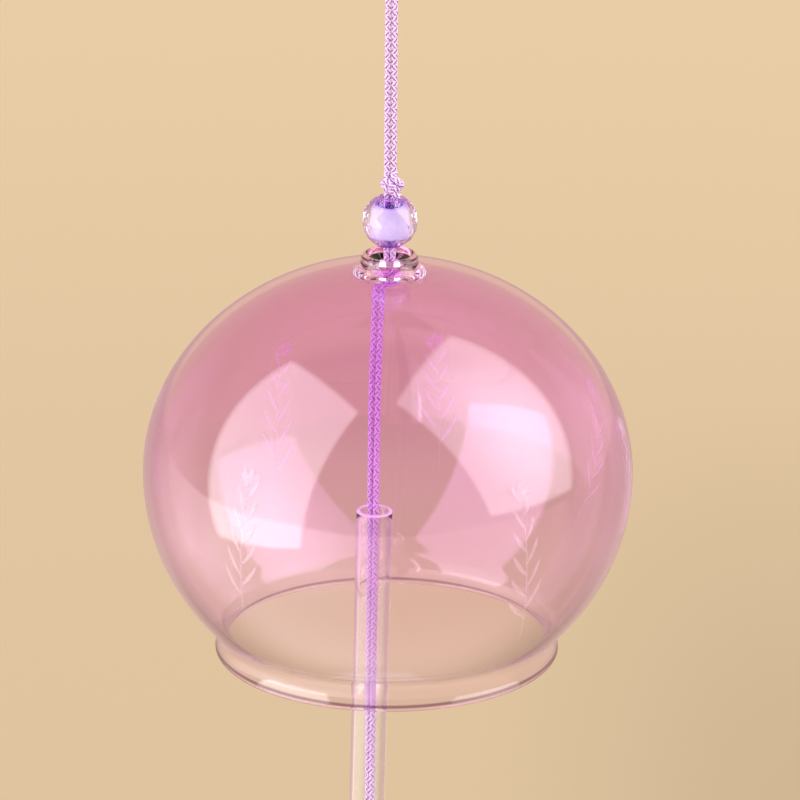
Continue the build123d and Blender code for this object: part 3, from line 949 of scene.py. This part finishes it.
class MakeTube(bpy.types.Operator):
    """Make the clear glass tube that strikes the bell"""
    bl_idname = "wind_bell.tube"
    bl_label = "Clapper tube"

    def execute(self, context):
        """The section of a straight wall with its four edges rounded, turned and then leaned over."""
        tube = settings().clapper
        segments, edge_points = 96, 8
        outer, inner, top, edge = tube.radius, tube.radius - tube.wall, tube.tube_length, tube.edge
        ground_depth = 1.1 * edge
        run = np.linspace(edge, top - edge, 40)[1:-1]
        corners = [arc((radius, level), edge, quarter * RIGHT_ANGLE, (quarter + 1) * RIGHT_ANGLE, edge_points)
                   for quarter, (radius, level) in enumerate(((outer - edge, top - edge), (inner + edge, top - edge),
                                                              (inner + edge, edge), (outer - edge, edge)))]
        section = np.concatenate([np.stack([0 * run + outer, run], -1), *corners[:2],
                                  np.stack([0 * run + inner, run[::-1]], -1), *corners[2:]])
        points, quads = turned(section, segments)
        lean = np.array(Matrix.Rotation(tube.lean, 3, "Y"))
        points = points @ lean.T + np.array([tube.foot_x, 0, tube.foot_level])
        stops = [(0.0, tube.end_tint), (0.02, tube.clear), (0.98, tube.clear), (1.0, tube.end_tint)]
        clear = glass("clear_glass", stops, ior=1.47, low=tube.foot_level, high=tube.foot_level + top)
        piece = make_piece("tube_glass", points, quads, clear)
        # The ends take a ground finish painted near-white, partly a painted highlight for the lit rim.
        ground_and_highlight = mottled("ground_glass_highlight", tube.ground_and_highlight, tube.ground_shade, scale=1500.0, change=(0.35, 0.7),
                         roughness=0.6)
        piece.data.materials.append(ground_and_highlight)
        level = np.repeat(section[:, 1], segments)[quads]
        ends = (level.min(1) > top - ground_depth) | (level.max(1) < ground_depth)
        piece.data.polygons.foreach_set("material_index", ends.astype(np.int32))
        seat(piece, "tube", "clear_glass", "clapper_tube")
        return {"FINISHED"}


class MakePaper(bpy.types.Operator):
    """Make the paper strip"""
    bl_idname = "wind_bell.paper"
    bl_label = "Paper strip"

    def execute(self, context):
        """A ring of faces round the hole in the upper part, and a plain grid below it.

        The strip curls forward with the square of the distance from its middle line, more towards its foot, and
        sways along its length with a sine.
        """
        paper = settings().paper
        columns, upper_steps, rings, lower_rows = 41, 12, 9, 121
        top_curl, sway, sway_turns = 0.3, 0.5, 0.6
        half, block = paper.width / 2, 2 * paper.margin
        x = np.linspace(-half, half, columns)
        z = np.linspace(-block, 0, upper_steps + 1)
        ring = np.concatenate([
            np.stack([x[:-1], np.full(columns - 1, -block)], -1),
            np.stack([np.full(upper_steps, half), z[:-1]], -1),
            np.stack([x[:0:-1], np.zeros(columns - 1)], -1),
            np.stack([np.full(upper_steps, -half), z[:0:-1]], -1),
        ])
        centre = np.array([0, -paper.margin])
        hole = centre + paper.hole * unit(ring - centre)
        share = np.linspace(0, 1, rings)[:, None, None]
        upper = hole + share * (ring - hole)
        low = np.linspace(-block, -paper.strip_length, lower_rows)
        lower = np.stack(np.broadcast_arrays(x, low[:, None]), -1)
        flat = np.concatenate([upper.reshape(-1, 2), lower.reshape(-1, 2)])
        quads = np.concatenate([grid_quads(rings, len(ring), wrap_columns=True),
                                grid_quads(lower_rows, columns) + upper.size // 2])
        across, drop = flat[:, 0] / half, flat[:, 1] / paper.strip_length
        bend = paper.curl * (across ** 2 * (top_curl + (1 - top_curl) * drop ** 2)
                             + sway * np.sin(TURN * sway_turns * drop) * drop)
        points = np.stack([flat[:, 0] + paper.middle_x, -bend, flat[:, 1] + paper.top], -1)
        washi = mottled("washi", paper.sheet, paper.fibre, scale=260.0, change=(0.45, 0.62), roughness=0.8,
                        distortion=0.8, bump=(0.35, 0.1 * MM))
        piece = make_piece("paper_sheet", points, quads, washi)
        piece.modifiers.new("weld", "WELD").merge_threshold = 0.01 * MM
        thickened(piece, paper.thickness, 0)
        seat(piece, "paper", "paper", "paper_strip")
        return {"FINISHED"}


class MakeStage(bpy.types.Operator):
    """Make the camera, the lights, the floor and the background"""
    bl_idname = "wind_bell.stage"
    bl_label = "Stage"

    def execute(self, context):
        scene = context.scene
        bounces = 24
        scene.view_settings.view_transform = "Standard"
        scene.cycles.max_bounces = bounces
        scene.cycles.transmission_bounces = bounces
        scene.cycles.glossy_bounces = bounces
        self.camera(scene)
        self.background(scene)
        self.floor()
        self.softbox("left_softbox", centre=(-0.673, -0.306, 0.309), across=(0.47, -0.88, 0.063), width=0.893,
                     height=1.56, peak=4.1, level=3.4, hot=(0.5, 0.15), reach=1.0)
        self.softbox("right_softbox", centre=(0.598, -0.184, 0.499), across=(-0.326, -0.943, 0.066), width=0.941,
                     height=1.44, peak=5.7, level=2.7, hot=(0.45, 0.52), reach=0.55)
        return {"FINISHED"}

    def camera(self, scene):
        """A camera in front of the bell and over it, which looks a little past the bell's middle."""
        stage = settings().stage
        middle = Vector((0, 0, settings().bell.middle))
        height = stage.camera_height
        back = Vector((0, -math.cos(height), math.sin(height)))
        right = Vector((1, 0, 0))
        up = back.cross(right)
        place = middle + back * stage.camera_distance
        aim = middle + right * stage.aim_right + up * stage.aim_up
        data = bpy.data.cameras.new("camera")
        data.lens = stage.lens
        data.sensor_width = 36
        data.clip_start, data.clip_end = 0.05, 60
        camera = bpy.data.objects.new("camera", data)
        scene.collection.objects.link(camera)
        look = (aim - place).to_track_quat("-Z", "Y").to_matrix()
        look = look @ Matrix.Rotation(stage.camera_roll, 3, "Z")
        camera.matrix_world = Matrix.Translation(place) @ look.to_4x4()
        scene.camera = camera

    def straight(self, tree):
        """1 for what is seen straight or through glass, and 0 for what is reflected or lights the part."""
        path = node(tree, "ShaderNodeLightPath").outputs
        seen = reckon(tree, "MAXIMUM", path["Is Camera Ray"], path["Is Transmission Ray"])
        bounces = reckon(tree, "ADD", path["Glossy Depth"], path["Diffuse Depth"])
        return reckon(tree, "MULTIPLY", seen, reckon(tree, "LESS_THAN", bounces, 0.5))

    def background(self, scene):
        """Backdrop all round, but a room with a dim ceiling and rosy walls where the bell reflects it.

        The ranges are parts of the view's direction, whose length is one.
        """
        stage = settings().stage
        world = bpy.data.worlds.new("studio")
        world.use_nodes = True
        scene.world = world
        tree = world.node_tree
        x, y, z = split(tree, place_in(tree, "Generated"))
        ahead = blended(tree, eased(tree, z, 0.5, 0.9), stage.room, stage.ceiling)
        behind = eased(tree, y, 0.1, 0.35)
        around = blended(tree, behind, ahead, stage.backdrop)
        aside = eased(tree, reckon(tree, "ABSOLUTE", x), 0.5, 0.75)
        level = eased(tree, reckon(tree, "ABSOLUTE", z), 0.5, 0.25)
        wall = reckon(tree, "MULTIPLY", reckon(tree, "MULTIPLY", aside, level), behind)
        reflected = blended(tree, wall, around, stage.walls)
        seen = blended(tree, self.straight(tree), reflected, stage.horizon)
        fill(tree, tree.nodes["Background"], {"Color": seen})

    def floor(self):
        """Plain floor that is lit by the lamps and has a glow of its own, brighter far away.

        Seen straight, the glow has a dusky patch behind the bell at the right. Reflected, it is brightest far away
        on the side of the left lamp, and brighter in front of the bell than behind it. The ranges are metres from
        under the bell.
        """
        stage = settings().stage
        half, matt_share = 6.0, 0.3
        near_glow, far_glow, dusk_loss = 0.72, 0.855, 0.2
        near_lit, far_lit, far_all = 0.3, 1.15, 0.42
        behind_glow, front_glow = 0.08, 0.75
        matt_light = 0.2
        lit_x, lit_y = -0.9, -0.43
        corners = np.array([[x, y, stage.floor_level]
                            for x, y in ((-half, -half), (half, -half), (half, half), (-half, half))])
        material, tree, shader = new_material("floor")
        x, y, _ = split(tree, place_in(tree, "Object"))
        reach = reckon(tree, "SQRT", reckon(tree, "ADD", reckon(tree, "MULTIPLY", x, x),
                                            reckon(tree, "MULTIPLY", y, y)))
        dusk = reckon(tree, "MULTIPLY", eased(tree, y, 2.1, 1.3), eased(tree, y, 0.5, 0.9))
        dusk = reckon(tree, "MULTIPLY", eased(tree, x, 0.02, 0.18), dusk)
        glow = reckon(tree, "MULTIPLY", eased(tree, reach, 1.2, 2.8, near_glow, far_glow),
                      reckon(tree, "MULTIPLY_ADD", dusk, -dusk_loss, 1.0))

        lit_side = reckon(tree, "MULTIPLY_ADD", x, lit_x, reckon(tree, "MULTIPLY", y, lit_y))
        lit_side = eased(tree, reckon(tree, "DIVIDE", lit_side, reach), 0.2, 1.0)
        far = eased(tree, reach, 0.5, 1.4)
        front = eased(tree, y, 0.35, -0.15, behind_glow, front_glow)
        bounced = reckon(tree, "MULTIPLY_ADD", lit_side, reckon(tree, "MULTIPLY_ADD", far, far_lit, near_lit),
                         reckon(tree, "MULTIPLY_ADD", far, far_all, front))
        path = node(tree, "ShaderNodeLightPath").outputs
        mirrored = reckon(tree, "LESS_THAN", path["Diffuse Depth"], 0.5)
        bounced = reckon(tree, "MULTIPLY", bounced,
                         reckon(tree, "MULTIPLY_ADD", mirrored, 1 - matt_light, matt_light))
        straight = self.straight(tree)
        reflected = blended(tree, lit_side, stage.walls, stage.table)
        fill(tree, shader, {
            "Base Color": [matt_share * v for v in stage.backdrop],
            "Roughness": 0.9,
            "Specular IOR Level": 0.1,
            "Emission Color": blended(tree, straight, reflected, stage.backdrop),
            "Emission Strength": blended(tree, straight, bounced, glow, "FLOAT"),
        })
        make_piece("floor", corners, np.array([[0, 1, 2, 3]]), material, smooth=False)

    def softbox(self, name, centre, across, width, height, peak, level, hot, reach):
        """A rectangle of light at a place seen from the bell's middle, facing the bell.

        It is brightest at its hot place, given in shares of its width and height, and fades at its edges.
        It doesn't show straight or through glass, and lights what doesn't mirror it less strongly.
        """
        edge, matt_share = 0.05, 0.62
        data = bpy.data.lights.new(name, "AREA")
        data.shape = "RECTANGLE"
        data.size, data.size_y = width, height
        data.energy = math.pi * width * height
        data.use_nodes = True
        tree = data.node_tree
        place = node(tree, "ShaderNodeNewGeometry").outputs["Parametric"]
        away = node(tree, "ShaderNodeVectorMath", place, (*hot, 0), operation="DISTANCE").outputs["Value"]
        strength = eased(tree, away, 0.0, reach, peak, level)
        for share in split(tree, place)[:2]:
            inside = reckon(tree, "PINGPONG", share, 0.5)
            strength = reckon(tree, "MULTIPLY", strength, eased(tree, inside, 0.0, edge))
        path = node(tree, "ShaderNodeLightPath").outputs
        mirrored = reckon(tree, "GREATER_THAN", path["Glossy Depth"], 0.5)
        mirrored = reckon(tree, "MULTIPLY_ADD", mirrored, 1 - matt_share, matt_share)
        hidden = reckon(tree, "SUBTRACT", 1.0, self.straight(tree))
        shown = reckon(tree, "MULTIPLY", mirrored, hidden)
        fill(tree, tree.nodes["Emission"], {"Strength": reckon(tree, "MULTIPLY", strength, shown)})
        lamp = bpy.data.objects.new(name, data)
        bpy.context.scene.collection.objects.link(lamp)
        back = Vector(centre).normalized()
        side = Vector(across)
        side = (side - side.project(back)).normalized()
        turn = Matrix((side, back.cross(side), back)).transposed()
        place = Vector(centre) + Vector((0, 0, settings().bell.middle))
        lamp.matrix_world = Matrix.Translation(place) @ turn.to_4x4()
        lamp.visible_camera = False


class WindBellPanel(bpy.types.Panel):
    """Lists the steps that make the wind bell"""
    bl_idname = "VIEW3D_PT_wind_bell"
    bl_label = "Wind bell"
    bl_space_type = "VIEW_3D"
    bl_region_type = "UI"
    bl_category = "Wind bell"

    def draw(self, context):
        for operator in OPERATORS:
            self.layout.operator(operator.bl_idname)


GROUPS = (BellSettings, CordSettings, BeadSettings, ClapperSettings, PaperSettings, StageSettings, WindBellSettings)
OPERATORS = (MakeHangingCord, MakeClapperCord, MakeBell, MakeBead, MakeTube, MakePaper, MakeStage)


def register():
    """Make the classes and the scene's settings known to Blender."""
    for cls in GROUPS + OPERATORS + (WindBellPanel,):
        bpy.utils.register_class(cls)
    bpy.types.Scene.wind_bell = PointerProperty(type=WindBellSettings)


def unregister():
    """Undo register."""
    del bpy.types.Scene.wind_bell
    for cls in reversed(GROUPS + OPERATORS + (WindBellPanel,)):
        bpy.utils.unregister_class(cls)


def main():
    """Make the whole wind bell and its stage."""
    register()
    bpy.ops.wind_bell.hanging_cord()
    bpy.ops.wind_bell.clapper_cord()
    bpy.ops.wind_bell.bell()
    bpy.ops.wind_bell.bead()
    bpy.ops.wind_bell.tube()
    bpy.ops.wind_bell.paper()
    bpy.ops.wind_bell.stage()


if __name__ == "__main__":
    main()
